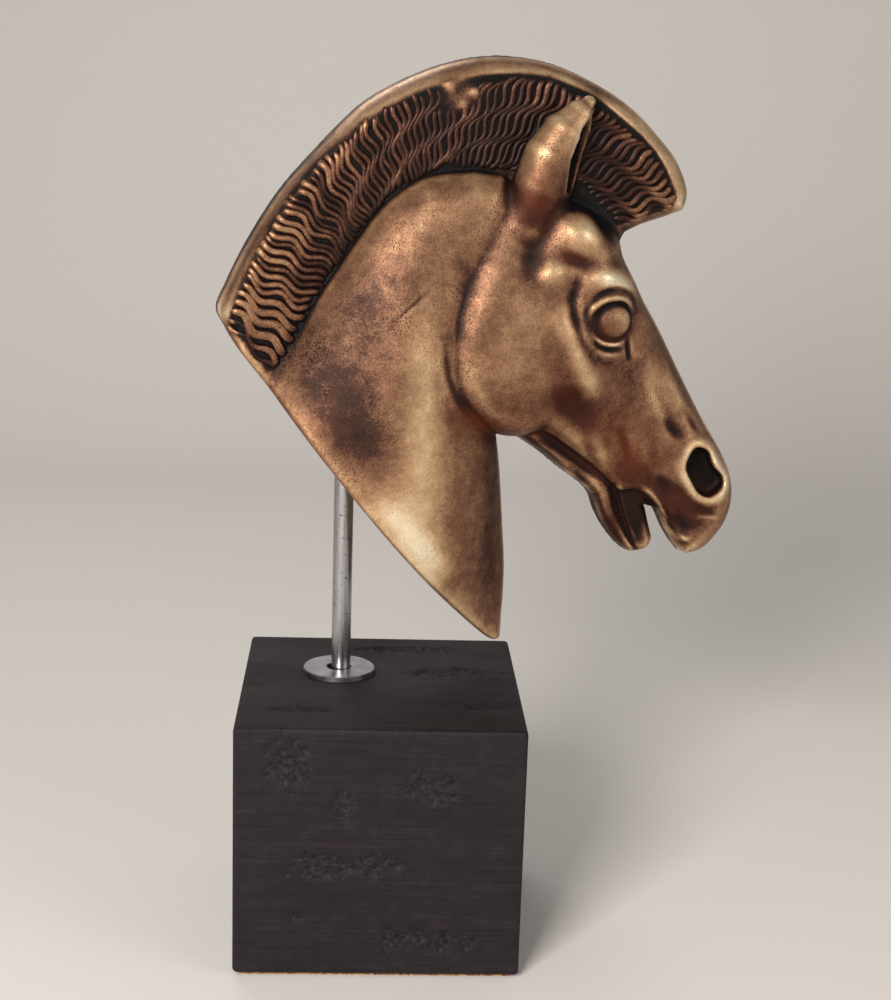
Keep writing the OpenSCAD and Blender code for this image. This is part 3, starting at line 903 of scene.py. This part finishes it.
def lock_lines(seed):
    """Every lock on one side: its points, the way it may wave, its run from the crest, the
    phase of its wave, and its width."""
    rng = np.random.default_rng(seed)
    lines = []
    for t in evenly_spaced(LOCK_PITCH):
        start, bend, end = flow_at(t)
        first, last = rng.uniform(0.0, 0.06), 0.97 - rng.uniform(0.0, 0.05)
        if WORN_FROM < end[0] < WORN_TO:
            last = WORN_KEEP + rng.uniform(-0.05, 0.05)
        share = np.linspace(first, last, POINTS_PER_LOCK)[:, None]
        line = (1 - share) ** 2 * start + 2 * share * (1 - share) * bend + share ** 2 * end
        step = np.gradient(line, axis=0)
        across = np.stack([-step[:, 1], step[:, 0]], axis=1) / np.hypot(*step.T)[:, None]
        swing = rng.uniform(0.75, 1.2)
        line = line + across * (rng.normal(0, STRAY) * (1 - share) + rng.normal(0, STRAY) * share)
        from_crest = np.cumsum(np.hypot(*np.diff(line[::-1], axis=0).T))
        run = np.concatenate([[0], from_crest])[::-1] + (1 - last) * GUIDE_RUN
        phase = PHASE_DRIFT * t + rng.normal(0, 0.22)
        lines.append([line, across * swing, run, phase, rng.uniform(0.92, 1.12)])
    spread_apart = np.gradient(np.array([entry[0] for entry in lines]), axis=0)
    for entry, apart in zip(lines, spread_apart):
        sideways = entry[1] / np.linalg.norm(entry[1], axis=1, keepdims=True)
        entry[4] = entry[4] * np.clip(np.abs((apart * sideways).sum(-1)), 3.0, 4.6) / LOCK_PITCH
    return lines


print("locks on each side:", len(evenly_spaced(LOCK_PITCH)))

# %% [markdown]
# ## Hair as ridges
# The tree below takes the plain lines and does the rest. It waves each point sideways by a sine
# of its distance from the crest, so that neighbours nest in each other, narrows the two ends, and
# sweeps a small circle along it, half sunk in the slab. Wavelength, wave height and lock width
# are inputs of the tree, so three numbers set the style of the whole mane.

# %% The node tree for the locks
def hair_tree():
    tree = bpy.data.node_groups.new("waved_locks", "GeometryNodeTree")
    face = tree.interface
    face.new_socket("Geometry", in_out="INPUT", socket_type="NodeSocketGeometry")
    for name in ("Wavelength", "Wave height", "Lock width"):
        face.new_socket(name, in_out="INPUT", socket_type="NodeSocketFloat")
    face.new_socket("Finish", in_out="INPUT", socket_type="NodeSocketMaterial")
    face.new_socket("Geometry", in_out="OUTPUT", socket_type="NodeSocketGeometry")
    finish, wavelength, wave_height, width, lines = (
        add(tree, "NodeGroupInput", out=name)
        for name in ("Finish", "Wavelength", "Wave height", "Lock width", "Geometry"))
    across, phase, size, run = (
        add(tree, "GeometryNodeInputNamedAttribute", [name], data_type=kind)
        for name, kind in (("across", "FLOAT_VECTOR"), ("phase", "FLOAT"), ("size", "FLOAT"),
                           ("run", "FLOAT")))
    line = add(tree, "GeometryNodeMeshToCurve", [lines])
    waves = add(tree, "ShaderNodeMath", [run, wavelength], operation="DIVIDE")
    turns = add(tree, "ShaderNodeMath", [waves, 2 * math.pi, phase], operation="MULTIPLY_ADD")
    wave = add(tree, "ShaderNodeMath", [turns], operation="SINE")
    swing = add(tree, "ShaderNodeMath", [wave, wave_height], operation="MULTIPLY")
    offset = add(tree, "ShaderNodeVectorMath", [across, swing], operation="SCALE")
    waved = add(tree, "GeometryNodeSetPosition", {"Geometry": line, "Offset": offset})
    factor = add(tree, "GeometryNodeSplineParameter", out="Factor")
    half_taper = add(tree, "ShaderNodeMath", [factor, 2.0, 1.0], operation="MULTIPLY_ADD")
    taper = add(tree, "ShaderNodeMath", [half_taper, 2.0], operation="PINGPONG")
    blunt = add(tree, "ShaderNodeMapRange", [taper, 0.0, 0.14, 0.30, 1.0])
    sized = add(tree, "ShaderNodeMath", [blunt, size], operation="MULTIPLY")
    radius = add(tree, "ShaderNodeMath", [sized, width], operation="MULTIPLY")
    ring = add(tree, "GeometryNodeCurvePrimitiveCircle", {"Resolution": 10, "Radius": 0.5})
    swept = add(tree, "GeometryNodeCurveToMesh", [waved, ring, radius, True])
    real = add(tree, "GeometryNodeRealizeInstances", [swept])
    done = add(tree, "GeometryNodeSetMaterial", {"Geometry": real, "Material": finish})
    add(tree, "NodeGroupOutput", [done])
    return tree


LOCK_WIDTH, WAVELENGTH, WAVE_HEIGHT, LOCK_SINK = 4.4, 18.0, 1.7, 0.75
locks_tree = hair_tree()
ALL_HAIR = -0.05
hair_shade = ALL_HAIR + np.sum([
    stroke([(-52, 318), (-42, 345), (-26, 372)], 0.08, 16),
    # painted shadow of the ear on the mane, to its left
    bump((78, 400), (10, 24), -0.26, -30),
    # painted shadow on the mane to the right of the ear
    bump((118, 400), (14, 16), -0.20),
    bump((150, 390), (14, 14), -0.04),
    bump((4, 384), (30, 16), 0.12, 45),
    stroke([(-36, 292), (-24, 315), (-2, 350), (16, 374), (40, 388), (74, 388)], -0.18, 3.5, 0.05),
], axis=0)


def make_locks(name, side, seed, finish):
    lines = lock_lines(seed)
    points, edges, across, runs, phase, size = [], [], [], [], [], []
    for line, sideways, run, start_phase, width in lines:
        first = len(points)
        flat = np.stack([line[:, 0], np.zeros(len(line)), line[:, 1]], axis=1)
        out = read_map(half, flat) - LOCK_SINK
        ends = np.minimum(np.arange(len(line)), np.arange(len(line))[::-1])
        out = out - 0.5 * (ends == 0)
        points += [(u, side * s, v) for (u, v), s in zip(line, out)]
        edges += [(first + k, first + k + 1) for k in range(len(line) - 1)]
        across += [(u, 0, v) for u, v in sideways]
        runs += list(run * MM)
        phase += [start_phase] * len(line)
        size += list(width)
    mesh = bpy.data.meshes.new(name)
    mesh.from_pydata(points, edges, [])
    mesh.transform(board_to_world @ Matrix.Scale(MM, 4))
    turn = np.array(board_to_world.to_3x3())
    mesh.attributes.new("across", "FLOAT_VECTOR", "POINT").data.foreach_set(
        "vector", (np.array(across) @ turn.T).astype(np.float32).ravel())
    piece = put_in_scene(name, mesh)
    for key, values in (("run", runs), ("phase", phase), ("size", size)):
        store(piece, key, values)
    modifier = piece.modifiers.new("locks", "NODES")
    modifier.node_group = locks_tree
    values = {"Wavelength": WAVELENGTH * MM, "Wave height": WAVE_HEIGHT * MM,
              "Lock width": LOCK_WIDTH * MM, "Finish": finish}
    for socket in locks_tree.interface.items_tree:
        if socket.name in values:
            modifier[socket.identifier] = values[socket.name]
    bake_modifiers(piece)
    piece.data.shade_smooth()
    spots = board_places(piece)
    rise = np.abs(spots[:, 1]) - read_map(half, spots)
    store(piece, "height", rise / (LOCK_WIDTH / 2 - LOCK_SINK))
    store(piece, "shade", read_map(hair_shade, spots))
    return piece


print("locks", LOCK_WIDTH, "mm wide, a wave every", WAVELENGTH, "mm,", len(locks_tree.nodes), "nodes")

# %% [markdown]
# ## Patinated bronze
# Common name: brown-patinated bronze with rubbed highlights. The casting was darkened, rubbed
# back with a gold-coloured wax and left with the small pits of its mould. To the eye that is a
# soft metal sheen, tan on the swells, red-brown where the rubbing didn't reach and black in the
# grooves. The ridge and hollow attributes choose the colour, and noise breaks the borders up.
# The tone and warmth attributes add the glaze, and with it painted highlight, shade and a
# painted reddish reflection.

# %% Patinated bronze
PIT_SIZE, SKIN_GRAIN, STIPPLE, BLOTCH, PATCH = 1.1, 0.6, 0.9, 6.0, 26.0
RUBBED = [(0.0, "#070606"), (0.18, "#160e0b"), (0.34, "#3c2318"), (0.50, "#7a563f"),
          (0.66, "#ab8764"), (0.82, "#d1b28b"), (1.0, "#f0e0c2")]
# the red is rust in the patina and also a painted reddish reflection where the warmth map reaches
RUST_AND_REFLECTED_RED, EVEN_RUB = "#6b2c13", 0.565


def patinated_bronze():
    material, tree, place = start_material("patinated_bronze")
    ridge, swell, tone, warmth = (
        add(tree, "ShaderNodeAttribute", out="Fac", attribute_name=name)
        for name in ("ridge", "swell", "tone", "warmth"))
    patch, blotch, stipple, grain = (
        add(tree, "ShaderNodeTexNoise", [place, 1 / (size * MM), detail, rough])
        for size, detail, rough in ((PATCH, 5.0, 0.65), (BLOTCH, 4.0, 0.7), (STIPPLE, 4.0, 0.75),
                                    (SKIN_GRAIN, 2.0, 0.5)))
    cells = add(tree, "ShaderNodeTexVoronoi", {"Vector": place, "Scale": 1 / (PIT_SIZE * MM)})
    reach = add(tree, "ShaderNodeMapRange", [patch, 0.44, 0.64, 0.04, 0.34])
    past_rim = add(tree, "ShaderNodeMath", [cells, reach], operation="SUBTRACT")
    pits = add(tree, "ShaderNodeMapRange", [past_rim, -0.14, 0.08, 0.0, 1.0])
    # the tone map adds the glaze and also painted highlight and shade to how far the patina is rubbed
    rub_and_painted_light = add(tree, "ShaderNodeMath", [tone, EVEN_RUB], operation="ADD")
    rub_and_painted_light = add_shares(tree, rub_and_painted_light, [
        (ridge, -1.6, 1.6, -0.44, 0.28),
        (swell, -1.6, 1.6, -0.22, 0.22),
        (patch, 0.3, 0.7, -0.07, 0.07),
        (blotch, 0.3, 0.7, -0.06, 0.06),
        (stipple, 0.25, 0.75, -0.10, 0.10),
        (pits, 0.0, 1.0, -0.20, 0.02)])
    gold = add(tree, "ShaderNodeValToRGB", [rub_and_painted_light], stops=RUBBED)
    unrubbed = add(tree, "ShaderNodeMapRange", [rub_and_painted_light, 0.25, 0.85, 0.75, 0.06])
    red = add(tree, "ShaderNodeMath", [warmth, unrubbed], operation="MULTIPLY")
    tint = add(tree, "ShaderNodeMix", [red, gold, colour(RUST_AND_REFLECTED_RED)], data_type="RGBA")
    gloss = add(tree, "ShaderNodeMapRange", [rub_and_painted_light, 0.1, 0.9, 0.62, 0.33])
    height = add(tree, "ShaderNodeMath", [pits, 1.6, grain], operation="MULTIPLY_ADD")
    bumpy = add(tree, "ShaderNodeBump", {"Height": height, "Strength": 0.6, "Distance": 0.22 * MM})
    surface = add(tree, "ShaderNodeBsdfPrincipled", {
        "Base Color": tint, "Metallic": 0.7, "Roughness": gloss, "Normal": bumpy})
    add(tree, "ShaderNodeOutputMaterial", [surface])
    return material


def rubbed_hair():
    """The same patina on the locks: rubbed on top, black between them."""
    material, tree, place = start_material("rubbed_hair_bronze")
    height, shade = (
        add(tree, "ShaderNodeAttribute", out="Fac", attribute_name=name)
        for name in ("height", "shade"))
    patch, stipple, grain = (
        add(tree, "ShaderNodeTexNoise", [place, 1 / (size * MM), detail, rough])
        for size, detail, rough in ((PATCH / 2, 4.0, 0.65), (STIPPLE, 3.0, 0.7), (SKIN_GRAIN, 2.0, 0.5)))
    # the shade map holds tone changes and a painted shadow of the ear on the mane
    rub_and_painted_light = add_shares(tree, shade, [
        (height, 0.25, 0.95, 0.04, 0.56),
        (patch, 0.3, 0.7, -0.10, 0.08),
        (stipple, 0.25, 0.75, -0.13, 0.13)])
    gold = add(tree, "ShaderNodeValToRGB", [rub_and_painted_light], stops=RUBBED)
    tint = add(tree, "ShaderNodeMix", [0.07, gold, colour(RUST_AND_REFLECTED_RED)], data_type="RGBA")
    bumpy = add(tree, "ShaderNodeBump", {"Height": grain, "Strength": 0.4, "Distance": 0.12 * MM})
    surface = add(tree, "ShaderNodeBsdfPrincipled", {
        "Base Color": tint, "Metallic": 0.7, "Roughness": 0.46, "Normal": bumpy})
    add(tree, "ShaderNodeOutputMaterial", [surface])
    return material


bronze = patinated_bronze()
hair_bronze = rubbed_hair()
head.data.materials.append(bronze)
near_locks = make_locks("mane_near_side", -1, 11, hair_bronze)
far_locks = make_locks("mane_far_side", 1, 12, hair_bronze)
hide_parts("head_casting")
for piece in (head, near_locks, far_locks):
    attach(piece, "head")
print("locks:", len(near_locks.data.polygons), "and", len(far_locks.data.polygons), "faces")

# %% [markdown]
# ## Poured resin
# Common name: cast polyurethane. It was poured into the upturned neck and set level, so it is
# matt and even, with a few small bubbles open at the surface.

# %% Resin
BUBBLE, RESIN_CLOUD = 2.2, 12.0


def casting_resin():
    material, tree, place = start_material("casting_resin")
    cells = add(tree, "ShaderNodeTexVoronoi", {"Vector": place, "Scale": 1 / (BUBBLE * MM)})
    bubbles = add(tree, "ShaderNodeMapRange", [cells, 0.08, 0.2, 0.0, 1.0])
    cloud = add(tree, "ShaderNodeTexNoise", [place, 1 / (RESIN_CLOUD * MM), 3.0])
    tint = add(tree, "ShaderNodeValToRGB", [cloud], stops=[(0.3, "#8d7f66"), (0.7, "#b0a386")])
    bumpy = add(tree, "ShaderNodeBump", {"Height": bubbles, "Strength": 0.6, "Distance": 0.3 * MM})
    surface = add(tree, "ShaderNodeBsdfPrincipled", {
        "Base Color": tint, "Roughness": 0.62, "IOR": 1.5, "Normal": bumpy})
    add(tree, "ShaderNodeOutputMaterial", [surface])
    return material


plug.data.materials.append(casting_resin())
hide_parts("neck_plug")
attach(plug, "head")
print("resin plug done")

# %% [markdown]
# ## The block
# It is a glued-up or solid wood block, stained black and left matt. Its saw marks run across, and
# in some places the surface was torn out when it was cut, which leaves shallow rough patches.
# They catch light on their lower edge, so they are real dents in a fine mesh and not only bump.
# The mesh is a box of fine grids whose edges are rounded by pushing points onto a smaller box.

# %% The block's shape
block_low, block_high = (np.array(corner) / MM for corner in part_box("wooden_block"))
BLOCK_EDGE, BLOCK_CELL = 2.2, 1.15
TORN_DEPTH = 1.5
TORN_FRONT = [((-44, 109), (11, 15)), ((-16, 92), (7, 7)), ((24, 99), (18, 8)),
              ((-17, 58), (32, 8)), ((21, 19), (27, 7)), ((-38, 31), (4, 2.5))]
TORN_TOP = [((38, 14), (24, 7)), ((12, 52), (34, 5)), ((-40, -45), (16, 4)), ((50, -38), (9, 4))]
TORN_BACK = [((30, 96), (22, 8)), ((-30, 60), (28, 7)), ((12, 30), (18, 6))]
TORN_SIDE = [((-20, 84), (20, 9)), ((28, 44), (26, 6))]


def value_noise(places, size, seed):
    """Smooth random values in space, between -1 and 1."""
    table = np.random.default_rng(seed).uniform(-1, 1, (32, 32, 32))
    p = np.asarray(places, float) / size + 1000
    whole = np.floor(p).astype(int)
    part = p - whole
    part = part * part * (3 - 2 * part)
    result = np.zeros(len(p))
    for corner in np.ndindex(2, 2, 2):
        share = np.prod(np.where(corner, part, 1 - part), axis=1)
        i, j, k = ((whole + corner) % 32).T
        result += share * table[i, j, k]
    return result


def torn_depth(across, up, patches, places):
    """How deep the surface is torn out: ragged shallow dents inside the patches."""
    edge = 0.45 * value_noise(places, 5.0, 3) + 0.35 * value_noise(places, 2.2, 4)
    depth = np.zeros(len(across))
    for (u, v), (ru, rv) in patches:
        inside_patch = 1 - np.hypot((across - u) / ru, (up - v) / rv) + edge
        depth = np.maximum(depth, np.clip(inside_patch * 3, 0, 1))
    rough = 0.75 + 0.5 * value_noise(places, 1.7, 5)
    return TORN_DEPTH * depth * rough


def make_block():
    size = block_high - block_low
    counts = np.maximum(2, np.round(size / BLOCK_CELL).astype(int))
    work = bmesh.new()
    for axis in range(3):
        a, b = (axis + 1) % 3, (axis + 2) % 3
        for level in (0, 1):
            grid = {}
            for i in range(counts[a] + 1):
                for j in range(counts[b] + 1):
                    spot = np.zeros(3)
                    spot[axis] = level * size[axis]
                    spot[a], spot[b] = size[a] * i / counts[a], size[b] * j / counts[b]
                    grid[i, j] = work.verts.new(block_low + spot)
            for i in range(counts[a]):
                for j in range(counts[b]):
                    work.faces.new((grid[i, j], grid[i + 1, j], grid[i + 1, j + 1], grid[i, j + 1]))
    bmesh.ops.remove_doubles(work, verts=work.verts, dist=0.01)
    bmesh.ops.recalc_face_normals(work, faces=work.faces)
    mesh = bpy.data.meshes.new("stained_block")
    work.to_mesh(mesh)
    work.free()
    p = vertex_places(mesh)
    core = np.clip(p, block_low + BLOCK_EDGE, block_high - BLOCK_EDGE)
    away = p - core
    reach = np.linalg.norm(away, axis=1, keepdims=True)
    worn = 0.25 * np.clip(value_noise(p, 14, 8), -1, 0.2)[:, None]
    at_corner = (np.abs(away) > 0.1).all(1, keepdims=True)
    p = core + away / np.maximum(reach, 1e-6) * (BLOCK_EDGE + worn * at_corner)
    middle = (block_low + block_high) / 2
    flat = [np.abs(away[:, k]) > 0.9 * BLOCK_EDGE for k in range(3)]
    x, y = p[:, 0] - middle[0], p[:, 1] - middle[1]
    height = p[:, 2] - block_low[2]
    dent = np.zeros((len(p), 3))
    dent[:, 1] += flat[1] * (away[:, 1] < 0) * torn_depth(x, height, TORN_FRONT, p)
    dent[:, 1] -= flat[1] * (away[:, 1] > 0) * torn_depth(x, height, TORN_BACK, p)
    dent[:, 0] -= flat[0] * np.sign(away[:, 0]) * torn_depth(y, height, TORN_SIDE, p)
    dent[:, 2] -= flat[2] * (away[:, 2] > 0) * torn_depth(x, y, TORN_TOP, p)
    return mesh, p + dent, np.abs(dent).sum(1)


block_mesh, block_points, torn = make_block()
block_mesh.vertices.foreach_set("co", (block_points * MM).ravel())
block = put_in_scene("stained_block", block_mesh)
print("block", len(block_mesh.polygons), "faces,", int((torn > 0.3).sum()), "points torn")

# %% [markdown]
# ## The bore and the recess
# The rod's thin end passes through the block to a nut in a round recess underneath. Two
# cylinders are cut from the fine mesh with a boolean, the one place where a boolean is the
# honest tool: the real block was drilled in just the same way.

# %% Drill the block
bore_low, bore_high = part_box("under_washer")
RECESS_WIDER, BORE_NARROWER = 5.0, 7.75


def drill(piece, radius, bottom, top):
    work = bmesh.new()
    bmesh.ops.create_cone(work, cap_ends=True, segments=64, radius1=radius * MM, radius2=radius * MM,
                          depth=(top - bottom) * MM)
    mesh = bpy.data.meshes.new("drill")
    work.to_mesh(mesh)
    work.free()
    mesh.transform(Matrix.Translation(ROD_AXIS + Vector((0, 0, (bottom + top) / 2 * MM))))
    cutter = put_in_scene("drill", mesh)
    cut = piece.modifiers.new("drill", "BOOLEAN")
    cut.operation, cut.object, cut.solver = "DIFFERENCE", cutter, "MANIFOLD"
    bake_modifiers(piece)
    bpy.data.objects.remove(cutter)


washer_radius = (bore_high.x - bore_low.x) / 2 / MM
drill(block, washer_radius + RECESS_WIDER, block_low[2] - 5, bore_high.z / MM)
drill(block, washer_radius - BORE_NARROWER, 0, block_high[2] + 5)
block.data.shade_smooth()
block_places = vertex_places(block.data) / MM
print("drilled block:", len(block.data.polygons), "faces")

# %% [markdown]
# ## Stained wood
# Common name: ebonised softwood. Black stain sinks into open grain and dries dead matt, so the
# block looks dark brown-grey rather than black, with fine lighter lines where the saw polished
# the grain. Torn places hold more dust and look a little greyer. Nothing here is glossy.

# %% Stained wood
GRAIN_WIDTH, GRAIN_RUN, SCUFF, CRUMB = 0.9, 40.0, 9.0, 2.2


def stained_wood():
    material, tree, place = start_material("stained_wood")
    run = GRAIN_WIDTH / GRAIN_RUN
    along = add(tree, "ShaderNodeMapping", {"Vector": place, "Scale": (run, 0.25, 1.0)})
    flat = add(tree, "ShaderNodeMapping", {"Vector": place, "Scale": (0.3, 0.6, 1.0)})
    grain, broad, dust, crumbs = (
        add(tree, "ShaderNodeTexNoise", [spot, 1 / (size * MM), detail, rough])
        for spot, size, detail, rough in ((along, GRAIN_WIDTH, 3.0, 0.6), (flat, SCUFF * 2, 4.0, 0.6),
                                          (place, SCUFF, 5.0, 0.7), (place, CRUMB, 3.0, 0.6)))
    torn_place = add(tree, "ShaderNodeAttribute", out="Fac", attribute_name="torn")
    tint = add_shares(tree, 0.0, [
        (grain, 0.3, 0.7, 0.0, 0.40),
        (broad, 0.3, 0.7, 0.0, 0.30),
        (dust, 0.45, 0.75, 0.0, 0.30)])
    stain = add(tree, "ShaderNodeValToRGB", [tint], stops=[
        (0.1, "#0b0709"), (0.5, "#1b1317"), (0.8, "#291f25"), (1.0, "#41363d")])
    rough_wood = add(tree, "ShaderNodeValToRGB", [crumbs], stops=[
        (0.35, "#060405"), (0.6, "#221a1e"), (0.8, "#453b41")])
    base = add(tree, "ShaderNodeMix", [torn_place, stain, rough_wood], data_type="RGBA")
    gloss = add(tree, "ShaderNodeMapRange", [broad, 0.3, 0.7, 0.60, 0.80])
    torn_height = add(tree, "ShaderNodeMath", [crumbs, torn_place], operation="MULTIPLY")
    saw_height = add(tree, "ShaderNodeMath", [grain, 0.35, dust], operation="MULTIPLY_ADD")
    height = add(tree, "ShaderNodeMath", [torn_height, 2.5, saw_height], operation="MULTIPLY_ADD")
    bumpy = add(tree, "ShaderNodeBump", {"Height": height, "Strength": 0.6, "Distance": 0.4 * MM})
    surface = add(tree, "ShaderNodeBsdfPrincipled", {
        "Base Color": base, "Roughness": gloss, "IOR": 1.36, "Normal": bumpy})
    add(tree, "ShaderNodeOutputMaterial", [surface])
    return material


def torn_at(points):
    """How torn each point of the drilled block is, from how far it lies under the plain faces."""
    inner = np.minimum(points - block_low, block_high - points)
    return np.clip(inner.min(axis=1) / 0.8, 0, 1) * (inner.min(axis=1) < 2.5)


store(block, "torn", torn_at(block_places))
block.data.materials.clear()
block.data.materials.append(stained_wood())
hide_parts("wooden_block")
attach(block, "base")
print("stained block: torn at", int((torn_at(block_places) > 0.3).sum()), "points")

# %% [markdown]
# ## Steel, zinc and cork
# The rod is drawn mild steel, bare: bright, with fine lines along its length and dark specks where
# it was handled. The washers and the nut are zinc-plated, which is cooler and a little milky. The
# pad is granulated cork. All of these shapes are exact in CAD, so they only get their finish.

# %% Steel, zinc and cork
DRAW_LINE, SPECK, PLATE_CLOUD, PLATE_GRAIN, CORK_GRAIN = 0.5, 2.6, 7.0, 0.8, 1.8


def drawn_steel():
    material, tree, place = start_material("drawn_mild_steel")
    along = add(tree, "ShaderNodeMapping", {"Vector": place, "Scale": (1.0, 1.0, 0.03)})
    lines = add(tree, "ShaderNodeTexNoise", [along, 1 / (DRAW_LINE * MM), 2.0, 0.5])
    specks = add(tree, "ShaderNodeTexNoise", [place, 1 / (SPECK * MM), 5.0, 0.8])
    marks = add(tree, "ShaderNodeMapRange", [specks, 0.57, 0.66, 0.0, 1.0])
    clean = add(tree, "ShaderNodeValToRGB", [lines], stops=[(0.3, "#949396"), (0.7, "#bbbabd")])
    tint = add(tree, "ShaderNodeMix", [marks, clean, colour("#3b3330")], data_type="RGBA")
    drawn = add(tree, "ShaderNodeMapRange", [lines, 0.3, 0.7, 0.22, 0.34])
    gloss = add(tree, "ShaderNodeMath", [marks, 0.3, drawn], operation="MULTIPLY_ADD")
    bumpy = add(tree, "ShaderNodeBump", {"Height": lines, "Strength": 0.25, "Distance": 0.05 * MM})
    surface = add(tree, "ShaderNodeBsdfPrincipled", {
        "Base Color": tint, "Metallic": 1.0, "Roughness": gloss, "Normal": bumpy})
    add(tree, "ShaderNodeOutputMaterial", [surface])
    return material


def zinc_plate():
    material, tree, place = start_material("bright_zinc_plate")
    cloud = add(tree, "ShaderNodeTexNoise", [place, 1 / (PLATE_CLOUD * MM), 4.0, 0.6])
    fine = add(tree, "ShaderNodeTexNoise", [place, 1 / (PLATE_GRAIN * MM), 2.0])
    tint = add(tree, "ShaderNodeValToRGB", [cloud], stops=[(0.3, "#94949b"), (0.7, "#b6b6be")])
    gloss = add(tree, "ShaderNodeMapRange", [cloud, 0.3, 0.7, 0.24, 0.4])
    bumpy = add(tree, "ShaderNodeBump", {"Height": fine, "Strength": 0.2, "Distance": 0.04 * MM})
    surface = add(tree, "ShaderNodeBsdfPrincipled", {
        "Base Color": tint, "Metallic": 1.0, "Roughness": gloss, "Normal": bumpy})
    add(tree, "ShaderNodeOutputMaterial", [surface])
    return material


def granulated_cork():
    material, tree, place = start_material("granulated_cork")
    spacing = {"Vector": place, "Scale": 1 / (CORK_GRAIN * MM)}
    granule = add(tree, "ShaderNodeTexVoronoi", spacing, out="Color")
    hollow_between = add(tree, "ShaderNodeTexVoronoi", spacing)
    pick = add(tree, "ShaderNodeSeparateColor", [granule])
    tint = add(tree, "ShaderNodeValToRGB", [pick], stops=[
        (0.0, "#6d4523"), (0.5, "#a8773f"), (1.0, "#c79a5c")])
    bumpy = add(tree, "ShaderNodeBump", {"Height": hollow_between, "Strength": 0.5, "Distance": 0.3 * MM})
    surface = add(tree, "ShaderNodeBsdfPrincipled", {
        "Base Color": tint, "Roughness": 0.85, "IOR": 1.4, "Normal": bumpy})
    add(tree, "ShaderNodeOutputMaterial", [surface])
    return material


steel, zinc = drawn_steel(), zinc_plate()
FINISHES = {"post": steel, "socket_tube": steel, "loose_washer": zinc, "under_washer": zinc,
            "under_nut": zinc, "cork_pad": granulated_cork()}
for name, finish in FINISHES.items():
    for material_slot in nodes[name].material_slots:
        material_slot.material = finish
print("finished CAD pieces:", ", ".join(FINISHES))
